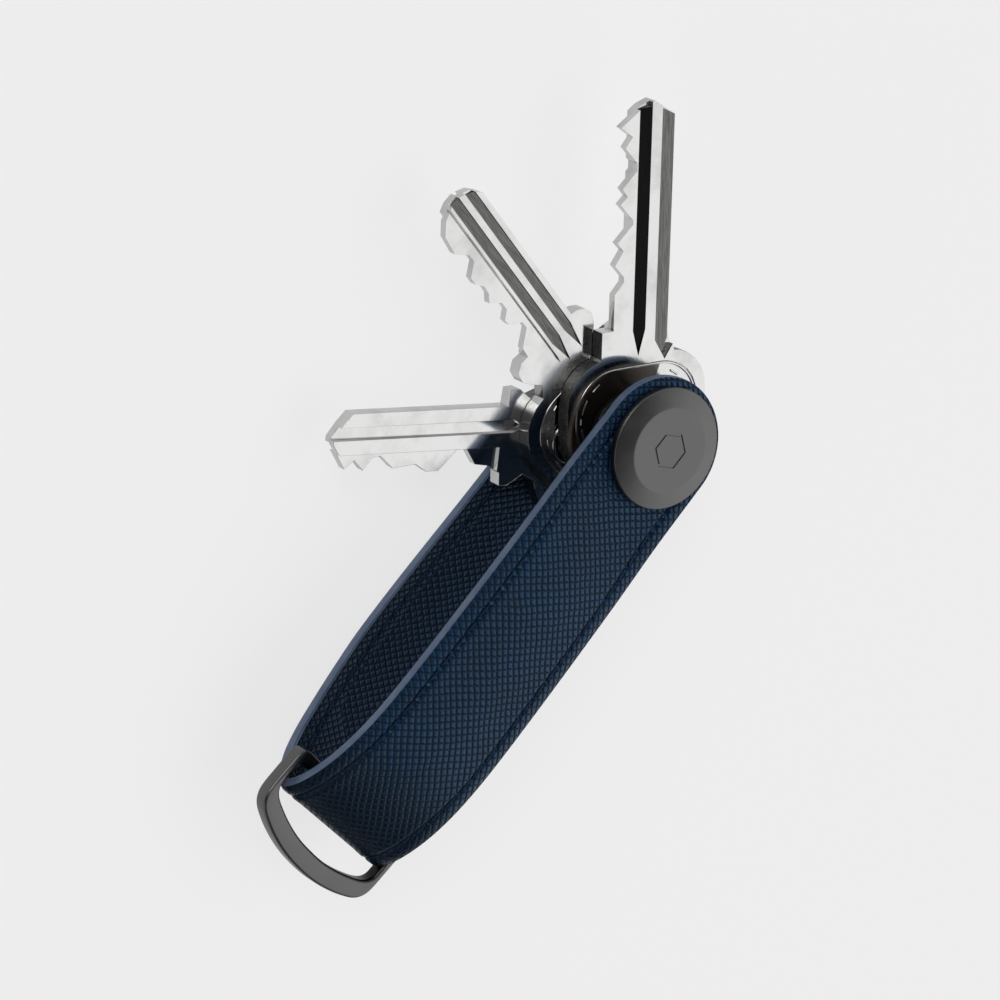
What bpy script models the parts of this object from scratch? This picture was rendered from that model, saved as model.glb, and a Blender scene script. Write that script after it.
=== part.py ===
"""A leather key organiser: a folded strap, a turned lock with its post, three keys and a D-ring.

The origin is the middle of the front lock head's flat face. +Z runs out of that face along the
lock's axis, +X runs along the strap to its fold, and Y runs across it.
"""

import bmesh
import bpy
from math import cos, pi, radians, sin
from mathutils import Matrix, Vector

MM = 0.001

# The strap: two layers of leather, folded round the ring's bar. Its thickness is measured inwards.
STRAP_MIDDLE = -9.5
LEATHER = 0.85
LINING_START = 0.95
STRAP = 1.6
LOCK_HALF_WIDTH = 9.85
FOLD_HALF_WIDTH = 10.4
END_REACH = 9.4
FOLD_REACH = 66.4
COAT = 0.15
COAT_INSET = 0.2
STRAP_HOLE = 3.4
# How far each leaf's outer face lies from the middle, as it bows from the lock to the fold.
FRONT_LEAF = (
    (-END_REACH, 7.5), (0, 7.5), (10, 7.5), (20, 7.85), (34, 8.05), (46, 7.95), (53, 7.4), (58, 6.3),
    (62, 4.6), (65, 2.4),
)
BACK_LEAF = (
    (-END_REACH, 7.5), (0, 7.5), (10, 7.4), (20, 7.4), (34, 7.7), (43, 7.6), (49, 7.0), (55, 6.1),
    (59, 5.3), (62.4, 4.1), (65, 2.2),
)
STEPS = 4
TRIM_ALLOWANCE = 10

# The stitching: one thread runs along each long edge, outside and inside.
SEAM_INSET = 2.4
SEAM_START = 9.8
THREAD_RADIUS = 0.16
THREAD_LIFT = 0.2

# The lock: a screw in front, and a barrel behind that it turns into.
HEAD_RADIUS = 8.35
FACE_RADIUS = 5.8
CHAMFER_HEIGHT = 0.85
HEAD_HEIGHT = 1.9
POST_RADIUS = 1.85
BORE_RADIUS = 2.0
BARREL_RADIUS = 2.55
BARREL_TOP = -6.3
POST_END = -16.4
BORE_END = -16.8
LOCK_BOTTOM = 2 * STRAP_MIDDLE
MARK_RADIUS = 2.7
MARK_LINE = 0.4
MARK_DEPTH = 0.15
SLOT_LENGTH = 9.0
SLOT_WIDTH = 1.4
SLOT_DEPTH = 0.9

# What sits on the post, as the top and bottom of each piece. Neighbours stand 0.1 mm apart.
FLANGE_RADIUS = 8.9
FRONT_FLANGE = (-3.7, -5.0)
THICK_SPACER = (-5.1, -6.2)
WAVE_WASHER = (-6.4, -6.7)
THIN_SPACER = (-7.1, -7.7)
FRONT_KEY = (-7.8, -9.95)
MIDDLE_KEY = (-10.05, -12.15)
REAR_KEY = (-12.25, -14.3)
REAR_FLANGE = (-14.4, -15.3)
FRONT_EYELET = (-2.0, -3.6)
REAR_EYELET = (-15.4, -17.0)
EYELET_RADIUS = 3.25
SPACER_RADIUS = 5.2
WASHER_RADIUS = 4.6
POST_HOLE = 2.05
BARREL_HOLE = 2.75
WAVE = 0.18

# The ring, whose bar lies a few degrees askew in the fold.
RING_AXIS = (62.0, 0.0, STRAP_MIDDLE)
RING_TURN = -4.0
RING_THICKNESS = 2.3
RING_SOFTNESS = 0.3
RING_STEPS = 3
# Half of its outside and inside about the bar, from the bar's middle round to the bow's.
RING_OUTSIDE = (
    (-0.9, 0), (-0.9, 5), (-0.9, 9.8), (-0.8, 10.9), (-0.4, 11.7), (0.5, 12.0), (2.0, 12.0), (4.0, 12.0),
    (5.8, 11.95), (7.1, 11.75), (8.15, 11.2), (8.9, 10.35), (9.5, 9.1), (10.15, 7.3), (10.75, 4.9),
    (11.1, 2.5), (11.2, 0),
)
RING_INSIDE = (
    (0.9, 0), (0.9, 5), (0.9, 8.6), (0.9, 9.7), (1.1, 10.4), (1.7, 10.8), (2.8, 10.85), (4.0, 10.85),
    (4.9, 10.8), (5.65, 10.4), (6.2, 9.75), (6.65, 8.85), (7.1, 7.6), (7.55, 6.1), (8.0, 4.1),
    (8.25, 2.1), (8.3, 0),
)

# The keys: how deep their grooves are on each side, and the rim round each bow's sunk face.
KEY_GROOVE = 0.75
BACK_GROOVE = 0.95
BOW_RECESS = 0.2
BOW_RIM = 1.3
BOW_FRONT_CORNER = 6.0
BOW_BACK_CORNER = 7.5
FRONT_ANGLE = -135.4
MIDDLE_ANGLE = -97.2
REAR_ANGLE = -51.9


def material(name, colour, roughness, metallic):
    made = bpy.data.materials.new(name)
    made.use_nodes = True
    shader = made.node_tree.nodes["Principled BSDF"]
    shader.inputs["Base Color"].default_value = (*colour, 1)
    shader.inputs["Roughness"].default_value = roughness
    shader.inputs["Metallic"].default_value = metallic
    return made


def finish(obj, collection, surface):
    for old in list(obj.users_collection):
        old.objects.unlink(obj)
    collection.objects.link(obj)
    if surface is None:
        obj.hide_render = True
        obj.display_type = "WIRE"
    else:
        obj.data.materials.append(surface)
    return obj


def new_object(name, data):
    obj = bpy.data.objects.new(name, data)
    bpy.context.scene.collection.objects.link(obj)
    return obj


def as_mesh(curve):
    """The curve's solid as a mesh object of the same name, with its caps welded on."""
    bpy.context.view_layer.update()
    graph = bpy.context.evaluated_depsgraph_get()
    mesh = bpy.data.meshes.new_from_object(curve.evaluated_get(graph))
    name = curve.name
    place = curve.matrix_world.copy()
    bpy.data.objects.remove(curve)
    shape = bmesh.new()
    shape.from_mesh(mesh)
    bmesh.ops.remove_doubles(shape, verts=shape.verts, dist=1e-7)
    bmesh.ops.recalc_face_normals(shape, faces=shape.faces)
    shape.to_mesh(mesh)
    shape.free()
    obj = new_object(name, mesh)
    obj.matrix_world = place
    return obj


def slab(name, outlines, half_thickness, place=Matrix.Identity(4)):
    """A flat outline, and any holes in it, as a solid that lies both sides of its own XY plane."""
    data = bpy.data.curves.new(name, "CURVE")
    data.dimensions = "2D"
    data.fill_mode = "BOTH"
    data.extrude = half_thickness * MM
    for outline in outlines:
        spline = data.splines.new("POLY")
        spline.points.add(len(outline) - 1)
        for point, (x, y) in zip(spline.points, outline):
            point.co = (x * MM, y * MM, 0, 1)
        spline.use_cyclic_u = True
    curve = new_object(name, data)
    curve.matrix_world = place
    return as_mesh(curve)


def turned(name, profile, z, steps=64):
    """A solid of revolution about Z, from a profile of (radius, height), top to bottom outside."""
    mesh = bpy.data.meshes.new(name)
    verts = [(radius * MM, 0, height * MM) for radius, height in profile]
    closed = profile[0][0] > 0
    edges = [(i, i + 1) for i in range(len(verts) - 1)] + ([(len(verts) - 1, 0)] if closed else [])
    mesh.from_pydata(verts, edges, [])
    obj = new_object(name, mesh)
    obj.location.z = z * MM
    screw = obj.modifiers.new("turn", "SCREW")
    screw.steps = steps
    screw.render_steps = steps
    screw.use_merge_vertices = True
    screw.merge_threshold = 1e-6
    screw.use_smooth_shade = False
    return obj


def cut(obj, *cutters, operation="DIFFERENCE"):
    for cutter in cutters:
        boolean = obj.modifiers.new(cutter.name, "BOOLEAN")
        boolean.operation = operation
        boolean.object = cutter
        boolean.solver = "EXACT"


def catmull(points, steps):
    """Points along a smooth curve through the given ones."""
    points = [Vector(point) for point in points]
    padded = [2 * points[0] - points[1], *points, 2 * points[-1] - points[-2]]
    made = []
    for a, b, c, d in zip(padded, padded[1:], padded[2:], padded[3:]):
        for step in range(steps):
            t = step / steps
            made.append(
                0.5 * (2 * b + (c - a) * t + (2 * a - 5 * b + 4 * c - d) * t**2
                       + (3 * b - a - 3 * c + d) * t**3)
            )
    return [*made, points[-1]]


def strap_path(depth):
    """The folded strap's line in the XZ plane, that deep inside its outer face."""
    back = [(x, -height) for x, height in reversed(BACK_LEAF)]
    outer = catmull([*FRONT_LEAF, (FOLD_REACH, 0), *back], STEPS)
    path = []
    for i, point in enumerate(outer):
        before = outer[max(i - 1, 0)]
        after = outer[min(i + 1, len(outer) - 1)]
        along = (after - before).normalized()
        inwards = Vector((along.y, -along.x))
        path.append(point + inwards * depth)
    return path


def half_width(x):
    share = min(max(x / FOLD_REACH, 0), 1)
    return LOCK_HALF_WIDTH + (FOLD_HALF_WIDTH - LOCK_HALF_WIDTH) * share


def strap_band(name, start, end):
    """The folded strip between two depths, much wider than the strap, to be trimmed to its plan."""
    outline = strap_path(start) + strap_path(end)[::-1]
    place = Matrix.Translation((0, 0, STRAP_MIDDLE * MM)) @ Matrix.Rotation(pi / 2, 4, "X")
    return slab(name, [[tuple(point) for point in outline]], FOLD_HALF_WIDTH + TRIM_ALLOWANCE, place)


def strap_plan(name, inset, half_depth):
    """The strap seen from above: tapered sides and a round end, that far inside its real edge."""
    end = [
        (-(END_REACH - inset) * sin(angle), (LOCK_HALF_WIDTH - inset) * cos(angle))
        for angle in (pi * step / 32 for step in range(33))
    ]
    far = FOLD_REACH + TRIM_ALLOWANCE
    wide = FOLD_HALF_WIDTH - inset
    outline = [*end, (FOLD_REACH, -wide), (far, -wide), (far, wide), (FOLD_REACH, wide)]
    place = Matrix.Translation((0, 0, STRAP_MIDDLE * MM))
    return slab(name, [outline], half_depth, place)


def round_cutter(name, radius, top, bottom):
    bpy.ops.mesh.primitive_cylinder_add(
        vertices=48,
        radius=radius * MM,
        depth=(top - bottom) * MM,
        location=(0, 0, (top + bottom) / 2 * MM),
    )
    obj = bpy.context.object
    obj.name = name
    return obj


def box_cutter(name, size, place):
    bpy.ops.mesh.primitive_cube_add(size=1, location=[value * MM for value in place])
    obj = bpy.context.object
    obj.name = name
    obj.scale = [value * MM for value in size]
    bpy.ops.object.transform_apply(location=False, rotation=False, scale=True)
    return obj


def thread(name, side, depth):
    """A thread that follows the strap from lock to lock, at one side and one depth."""
    line = [point for point in strap_path(depth) if point.x > SEAM_START]
    data = bpy.data.curves.new(name, "CURVE")
    data.dimensions = "3D"
    data.bevel_depth = THREAD_RADIUS * MM
    data.bevel_resolution = 1
    data.use_fill_caps = True
    spline = data.splines.new("POLY")
    spline.points.add(len(line) - 1)
    for point, at in zip(spline.points, line):
        y = side * (half_width(at.x) - SEAM_INSET)
        point.co = (at.x * MM, y * MM, (at.y + STRAP_MIDDLE) * MM, 1)
    return new_object(name, data)


def arc(centre, radius, start, end, count):
    """Points on an arc, by its angles in degrees."""
    return [
        (centre[0] + radius * cos(angle), centre[1] + radius * sin(angle))
        for angle in (radians(start + (end - start) * i / count) for i in range(count + 1))
    ]


def bow_outline(front, back, wide, middle):
    """A key's bow: a rounded square about the post's hole, with its softer corners at the back."""
    near = BOW_FRONT_CORNER
    far = BOW_BACK_CORNER
    return (
        arc((front - near, middle - wide + near), near, 270, 360, 6)
        + arc((front - near, middle + wide - near), near, 0, 90, 6)
        + arc((back + far, middle + wide - far), far, 90, 180, 7)
        + arc((back + far, middle - wide + far), far, 180, 270, 7)
    )


def groove_outline(reach, end, low, high, taper):
    """A milled groove that runs off the tip and narrows to a point at the bow."""
    middle = (low + high) / 2
    return [(reach, low), (reach, high), (end + taper, high), (end, middle), (end + taper, low)]


def key(name, levels, angle, surface, shape, collection, cutters):
    """One key, turned about the post: a bow with a hole, ears, and a blade with cuts and grooves."""
    top, bottom = levels
    place = Matrix.Translation((0, 0, (top + bottom) / 2 * MM)) @ Matrix.Rotation(radians(angle), 4, "Z")
    lift = Matrix.Translation((0, 0, top * MM)) @ Matrix.Rotation(radians(angle), 4, "Z")
    drop = Matrix.Translation((0, 0, bottom * MM)) @ Matrix.Rotation(radians(angle), 4, "Z")
    body = slab(name, [shape["blade"]], (top - bottom) / 2, place)
    bow = slab(name + "_bow_shape", [bow_outline(*shape["bow"])], (top - bottom) / 2, place)
    front, back, wide, middle = shape["bow"]
    face = bow_outline(front - BOW_RIM, back + BOW_RIM, wide - BOW_RIM, middle)
    tools = [slab(name + "_face", [face], BOW_RECESS, lift), slab(name + "_back", [face], BOW_RECESS, drop)]
    hole = round_cutter(name + "_hole", BARREL_HOLE, top + 1, bottom - 1)
    for i, (side, outline) in enumerate(shape["grooves"]):
        depth = KEY_GROOVE if side == "front" else BACK_GROOVE
        tools.append(slab(f"{name}_groove_{i}", [outline], depth, lift if side == "front" else drop))
    cut(body, bow, operation="UNION")
    cut(body, *tools, hole)
    for helper in (bow, hole, *tools):
        finish(helper, cutters, None)
    finish(body, collection, surface)


FRONT_SHAPE = {
    "blade": [
        (4, -5.6), (11.2, -5.8), (14.9, -4.8), (43.5, -4.8), (44.6, -2.9), (45.6, -1.3), (45.0, 0.4),
        (42.5, 4.0), (41.1, 2.1), (39.7, 3.2), (37.4, 1.2), (36.4, 1.2), (34.2, 3.5), (33.1, 2.6),
        (32.1, 3.7), (29.8, 1.6), (29.2, 1.6), (26.9, 4.0), (25.8, 3.0), (23.9, 4.3), (22.2, 2.8),
        (21.5, 2.8), (19.9, 4.2), (15.0, 4.2), (15.0, 6.0), (11.3, 6.0), (8.0, 9.0),
    ],
    "bow": (11.1, -6.3, 11.2, 0),
    "grooves": [
        ("front", groove_outline(48, 11.0, -0.95, 1.05, 3.6)),
        ("front", [(48, -6), (48, -2.6), (12.8, -2.6), (10.0, -4.3), (12.8, -6.2)]),
        ("back", groove_outline(48, 13.0, -2.2, -1.3, 3)),
        ("back", [(48, 6), (48, 1.6), (17, 1.6), (15.4, 4.5), (15.4, 6)]),
    ],
}
MIDDLE_SHAPE = {
    "blade": [
        (4, -6.2), (13.2, -5.4), (15.0, -4.4), (16.2, -5.3), (17.4, -5.8), (18.7, -5.4), (19.5, -4.4),
        (19.7, -3.4), (43.0, -3.4), (44.3, -2.4), (45.1, -0.6), (45.0, 1.0), (44.0, 3.0), (42.4, 4.3),
        (39.6, 4.6), (37.8, 3.1), (36.6, 3.1), (35.2, 4.8), (34.0, 4.8), (32.8, 4.0), (31.5, 4.1),
        (30.4, 4.8), (29.0, 3.4), (27.7, 3.4), (26.7, 4.5), (25.8, 4.4), (24.5, 2.7), (23.4, 2.7),
        (21.6, 4.8), (20.0, 4.9), (20.1, 6.2), (19.2, 7.4), (17.8, 7.6), (16.6, 6.9), (15.2, 5.6),
        (13.2, 6.8), (4, 7.6),
    ],
    "bow": (13.5, -6.5, 12.0, 0.75),
    "grooves": [
        ("front", groove_outline(48, 14.8, -2.65, -1.3, 4)),
        ("front", groove_outline(48, 14.7, -0.35, 1.15, 4)),
        ("front", groove_outline(48, 15.6, 1.6, 1.9, 1)),
        ("back", groove_outline(48, 16.0, -1.1, -0.5, 3)),
        ("back", [(48, 7), (48, 2.2), (22, 2.2), (20.2, 5.0), (20.2, 7)]),
    ],
}
REAR_SHAPE = {
    "blade": [
        (4, -6.0), (12.4, -5.4), (14.8, -4.5), (16.6, -5.8), (18.0, -5.7), (18.1, -3.5), (42.4, -3.5),
        (43.8, -1.9), (45.0, -0.2), (45.0, 0.6), (43.8, 2.2), (42.4, 4.2), (41.0, 3.0), (39.5, 4.5),
        (38.2, 2.8), (37.0, 2.6), (34.9, 4.4), (31.4, 4.0), (29.6, 5.1), (27.6, 5.1), (24.9, 2.3),
        (23.5, 2.3), (21.9, 4.5), (19.6, 4.8), (18.4, 5.6), (18.2, 7.4), (16.8, 7.4), (14.6, 6.0),
        (12.4, 7.0), (4, 7.6),
    ],
    "bow": (12.6, -6.3, 11.4, 0.8),
    "grooves": [
        ("front", groove_outline(48, 15.4, -1.6, 0.1, 1.6)),
        ("front", [(48, 8), (48, 2.1), (18.8, 2.1), (18.8, 8)]),
        ("back", groove_outline(48, 15.4, 0.5, 1.7, 2)),
    ],
}


def strap_pieces(collection, cutters, leather, lining_leather, paint, cotton):
    depth = -2 * STRAP_MIDDLE
    edge = strap_plan("strap_edge", 0, depth)
    trim = strap_plan("strap_trim", COAT_INSET, depth)
    coat_inside = strap_plan("coat_inside", COAT, depth)
    hole = round_cutter("strap_hole", STRAP_HOLE, 2, LOCK_BOTTOM - 2)
    outer = strap_band("strap_outer", 0, LEATHER)
    lining = strap_band("strap_lining", LINING_START, STRAP)
    coat = strap_band("edge_coat", 0, STRAP)
    cut(outer, trim, operation="INTERSECT")
    cut(outer, hole)
    cut(lining, trim, operation="INTERSECT")
    cut(lining, hole)
    cut(coat, edge, operation="INTERSECT")
    cut(coat, coat_inside)
    finish(outer, collection, leather)
    finish(lining, collection, lining_leather)
    finish(coat, collection, paint)
    for helper in (edge, trim, coat_inside, hole):
        finish(helper, cutters, None)
    for side, word in ((-1, "left"), (1, "right")):
        finish(thread(f"outer_seam_{word}", side, -THREAD_LIFT), collection, cotton)
        finish(thread(f"inner_seam_{word}", side, STRAP + THREAD_LIFT), collection, cotton)


def lock_pieces(collection, cutters, gunmetal, dark_steel, nylon, steel):
    screw = turned(
        "lock_screw",
        [
            (0, 0), (FACE_RADIUS, 0), (HEAD_RADIUS, -CHAMFER_HEIGHT), (HEAD_RADIUS, -HEAD_HEIGHT),
            (POST_RADIUS, -HEAD_HEIGHT), (POST_RADIUS, POST_END + 0.4), (POST_RADIUS - 0.4, POST_END),
            (0, POST_END),
        ],
        0,
    )
    hexagon = [arc((0, 0), radius, 0, 300, 5) for radius in (MARK_RADIUS, MARK_RADIUS - MARK_LINE)]
    mark = slab("mark", hexagon, MARK_DEPTH)
    cut(screw, mark)
    barrel_height = BARREL_TOP - LOCK_BOTTOM
    barrel = turned(
        "lock_barrel",
        [
            (0, barrel_height), (BARREL_RADIUS, barrel_height), (BARREL_RADIUS, HEAD_HEIGHT),
            (HEAD_RADIUS, HEAD_HEIGHT), (HEAD_RADIUS, CHAMFER_HEIGHT), (FACE_RADIUS, 0), (0, 0),
        ],
        LOCK_BOTTOM,
    )
    bore = round_cutter("bore", BORE_RADIUS, BARREL_TOP + 1, BORE_END)
    slot = box_cutter("coin_slot", (SLOT_LENGTH, SLOT_WIDTH, 2 * SLOT_DEPTH), (0, 0, LOCK_BOTTOM))
    cut(barrel, bore, slot)
    finish(screw, collection, gunmetal)
    finish(barrel, collection, gunmetal)
    for helper in (mark, bore, slot):
        finish(helper, cutters, None)
    discs = (
        ("front_flange", FRONT_FLANGE, FLANGE_RADIUS, POST_HOLE, 0.35, dark_steel),
        ("thick_spacer", THICK_SPACER, SPACER_RADIUS, POST_HOLE, 0.2, nylon),
        ("thin_spacer", THIN_SPACER, SPACER_RADIUS, BARREL_HOLE, 0.1, nylon),
        ("rear_flange", REAR_FLANGE, FLANGE_RADIUS, BARREL_HOLE, 0.25, dark_steel),
        ("front_eyelet", FRONT_EYELET, EYELET_RADIUS, POST_HOLE, 0.1, dark_steel),
        ("rear_eyelet", REAR_EYELET, EYELET_RADIUS, BARREL_HOLE, 0.1, dark_steel),
    )
    for name, (top, bottom), radius, hole, soft, surface in discs:
        height = top - bottom
        disc = turned(
            name,
            [
                (hole, height), (radius - soft, height), (radius, height - soft), (radius, soft),
                (radius - soft, 0), (hole, 0),
            ],
            bottom,
        )
        finish(disc, collection, surface)
    finish(wave_washer(), collection, steel)


def wave_washer():
    """A thin ring that rises and falls three times round."""
    top, bottom = WAVE_WASHER
    count = 48
    shape = bmesh.new()
    rings = []
    for i in range(count):
        angle = 2 * pi * i / count
        lift = WAVE * sin(3 * angle)
        section = [
            (radius * cos(angle) * MM, radius * sin(angle) * MM, (height + lift) * MM)
            for radius, height in (
                (BARREL_HOLE, bottom), (WASHER_RADIUS, bottom), (WASHER_RADIUS, top), (BARREL_HOLE, top),
            )
        ]
        rings.append([shape.verts.new(point) for point in section])
    for here, there in zip(rings, rings[1:] + rings[:1]):
        for i in range(4):
            j = (i + 1) % 4
            shape.faces.new((here[i], there[i], there[j], here[j]))
    bmesh.ops.recalc_face_normals(shape, faces=shape.faces)
    mesh = bpy.data.meshes.new("wave_washer")
    shape.to_mesh(mesh)
    shape.free()
    return new_object("wave_washer", mesh)


def whole_ring(half):
    """The closed smooth line through half of the ring's outline and its mirror image."""
    other = [(x, -y) for x, y in reversed(half[1:-1])]
    return catmull([*half, *other, half[0]], RING_STEPS)[:-1]


def ring_piece(collection, gunmetal):
    """The flat D-ring: one section with softened edges, carried round between outside and inside."""
    half = RING_THICKNESS / 2
    corner = RING_SOFTNESS * (1 - cos(pi / 4))
    shape = bmesh.new()
    sections = []
    for outer, inner in zip(whole_ring(RING_OUTSIDE), whole_ring(RING_INSIDE)):
        width = (inner - outer).length
        inwards = (inner - outer).normalized()
        quarter = [(0, half - RING_SOFTNESS), (corner, half - corner), (RING_SOFTNESS, half)]
        above = quarter + [(width - across, up) for across, up in reversed(quarter)]
        below = [(across, -up) for across, up in reversed(above)]
        section = []
        for across, up in above + below:
            at = outer + inwards * across
            section.append(shape.verts.new((at.x * MM, at.y * MM, up * MM)))
        sections.append(section)
    count = len(sections[0])
    for here, there in zip(sections, sections[1:] + sections[:1]):
        for i in range(count):
            j = (i + 1) % count
            shape.faces.new((here[i], here[j], there[j], there[i]))
    bmesh.ops.recalc_face_normals(shape, faces=shape.faces)
    mesh = bpy.data.meshes.new("d_ring")
    shape.to_mesh(mesh)
    shape.free()
    ring = new_object("d_ring", mesh)
    ring.location = [value * MM for value in RING_AXIS]
    ring.rotation_euler.z = radians(RING_TURN)
    finish(ring, collection, gunmetal)


def main():
    for obj in list(bpy.data.objects):
        bpy.data.objects.remove(obj)
    collection = bpy.data.collections.new("key_organiser")
    cutters = bpy.data.collections.new("cutters")
    for made in (collection, cutters):
        bpy.context.scene.collection.children.link(made)
    gunmetal = material("gunmetal", (0.13, 0.13, 0.135), 0.38, 1)
    dark_steel = material("dark_steel", (0.10, 0.095, 0.09), 0.35, 1)
    nickel = material("nickel", (0.78, 0.77, 0.74), 0.18, 1)
    nylon = material("black_nylon", (0.02, 0.02, 0.022), 0.5, 0)
    leather = material("navy_leather", (0.008, 0.025, 0.075), 0.45, 0)
    lining_leather = material("navy_lining", (0.006, 0.016, 0.045), 0.5, 0)
    paint = material("edge_paint", (0.12, 0.17, 0.26), 0.5, 0)
    cotton = material("navy_thread", (0.015, 0.03, 0.08), 0.6, 0)
    strap_pieces(collection, cutters, leather, lining_leather, paint, cotton)
    lock_pieces(collection, cutters, gunmetal, dark_steel, nylon, nickel)
    ring_piece(collection, gunmetal)
    for name, levels, angle, shape in (
        ("front_key", FRONT_KEY, FRONT_ANGLE, FRONT_SHAPE),
        ("middle_key", MIDDLE_KEY, MIDDLE_ANGLE, MIDDLE_SHAPE),
        ("rear_key", REAR_KEY, REAR_ANGLE, REAR_SHAPE),
    ):
        key(name, levels, angle, nickel, shape, collection, cutters)


main()
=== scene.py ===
"""How the key organiser looks: saffiano leather, painted edges, stitches, gunmetal and polished keys.

Lengths are in millimetres in the CAD frame: +Z runs out of the front lock head, +X along the strap to
its fold, Y across it.
"""

from math import cos, exp, hypot, pi, radians, sin

import bmesh
import bpy
from mathutils import Matrix, Vector


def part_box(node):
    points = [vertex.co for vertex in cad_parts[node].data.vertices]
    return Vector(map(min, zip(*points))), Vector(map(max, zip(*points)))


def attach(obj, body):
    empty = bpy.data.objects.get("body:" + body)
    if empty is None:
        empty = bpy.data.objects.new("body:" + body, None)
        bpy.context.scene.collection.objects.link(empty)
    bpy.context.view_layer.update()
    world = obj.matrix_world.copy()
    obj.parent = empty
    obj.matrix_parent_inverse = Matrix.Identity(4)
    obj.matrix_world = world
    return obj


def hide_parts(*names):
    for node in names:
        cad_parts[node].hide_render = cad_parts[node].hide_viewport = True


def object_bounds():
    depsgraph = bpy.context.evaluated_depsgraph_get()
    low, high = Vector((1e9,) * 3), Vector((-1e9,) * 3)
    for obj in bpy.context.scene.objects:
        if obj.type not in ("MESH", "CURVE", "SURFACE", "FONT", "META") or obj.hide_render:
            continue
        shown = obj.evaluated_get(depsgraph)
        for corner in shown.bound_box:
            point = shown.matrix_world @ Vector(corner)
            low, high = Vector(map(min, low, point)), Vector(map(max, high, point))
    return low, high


MM = 0.001

# The folded strap: how far each leaf's outer face lies from the middle, from the lock to the fold.
STRAP_MIDDLE = -9.5
FRONT_LEAF = (
    (0, 7.5), (10, 7.5), (20, 7.85), (34, 8.05), (46, 7.95), (53, 7.4), (58, 6.3), (62, 4.6), (65, 2.4),
)
BACK_LEAF = (
    (0, 7.5), (10, 7.4), (20, 7.4), (34, 7.7), (43, 7.6), (49, 7.0), (55, 6.1), (59, 5.3), (62.4, 4.1),
    (65, 2.2),
)
FOLD_REACH = 66.4
END_REACH = 9.4
LOCK_HALF_WIDTH = 9.85
FOLD_HALF_WIDTH = 10.4
LEATHER = 0.85
LINING_START = 0.95
STRAP = 1.6
STATION = 0.5
END_STEPS = 72
CROWN = 1.15
# How far along the strap its fold lies, from the lock.
HALF_WAY = 69

# The seams: a pressed groove with single stitches lying in it.
SEAM_INSET = 2.4
SEAM_START = 9.8
GROOVE_DEPTH = 0.32
GROOVE_WIDTH = 0.3
LINING_GROOVE = 0.6
STITCH_PITCH = 2.7
STITCH_LENGTH = 2.2
STITCH_LEAN = 0.12
STITCH_RINGS = 11
STITCH_SIDES = 8
THREAD = 0.17
THREAD_FLATNESS = 1.15

# The lock heads.
HEAD_RADIUS = 8.35
FACE_RADIUS = 5.8
CHAMFER = 0.85
HEAD_HEIGHT = 1.9
HEAD_SOFTNESS = 0.16
POST_RADIUS = 1.85
POST_END = -16.4
POST_CHAMFER = 0.4
BORE_GAP = 0.15
BARREL_RADIUS = 2.55
BARREL_TOP = -6.3
MARK_RADIUS = 2.7
MARK_LINE = 0.4
MARK_DEPTH = 0.15
SLOT = (9.0, 1.4, 0.9)

# The ring, whose bar lies a few degrees askew in the fold.
RING_AXIS = (62.0, 0.0, -9.5)
RING_TURN = -4.0
RING_THICKNESS = 2.3
# The radii of its outer and of its inner edges.
RING_SOFTNESS = (0.42, 0.5)
# Half of its outside and inside about the bar, from the bar's middle round to the bow's.
RING_OUTSIDE = (
    (-0.9, 0), (-0.9, 5), (-0.9, 9.8), (-0.8, 10.9), (-0.4, 11.7), (0.5, 12.0), (2.0, 12.0), (4.0, 12.0),
    (5.8, 11.95), (7.1, 11.75), (8.15, 11.2), (8.9, 10.35), (9.5, 9.1), (10.15, 7.3), (10.75, 4.9),
    (11.1, 2.5), (11.2, 0),
)
RING_INSIDE = (
    (0.9, 0), (0.9, 5), (0.9, 8.6), (0.9, 9.7), (1.1, 10.4), (1.7, 10.8), (2.8, 10.85), (4.0, 10.85),
    (4.9, 10.8), (5.65, 10.4), (6.2, 9.75), (6.65, 8.85), (7.1, 7.6), (7.55, 6.1), (8.0, 4.1),
    (8.25, 2.1), (8.3, 0),
)

# The studio's lights: each one's direction, the angles at which it fades out and is full, and its
# brightness outside and inside.
PANEL = ((-0.25, 0.78, 0.57), 52, 22, 0.06, 1.02)
SOFT_LIGHTS = (
    ((-0.08, -0.75, 0.59), 20, 8, 0.0, 3.2),
    ((-1.0, -0.2, 0.2), 55, 15, 0.0, 0.5),
    ((0.9, -0.3, 0.35), 28, 12, 0.0, 0.5),
)
# How brightly the floor glows in reflections, and to the camera.
FLOOR_GLOW = 0.5
BACKDROP_GLOW = 0.72


def smoothstep(low, high, value):
    share = min(max((value - low) / (high - low), 0), 1)
    return share * share * (3 - 2 * share)


def bell(value, middle, width):
    return exp(-(((value - middle) / width) ** 2))


# ---------------------------------------------------------------- materials

RANGE_SOCKETS = ("From Min", "From Max", "To Min", "To Max")


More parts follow.
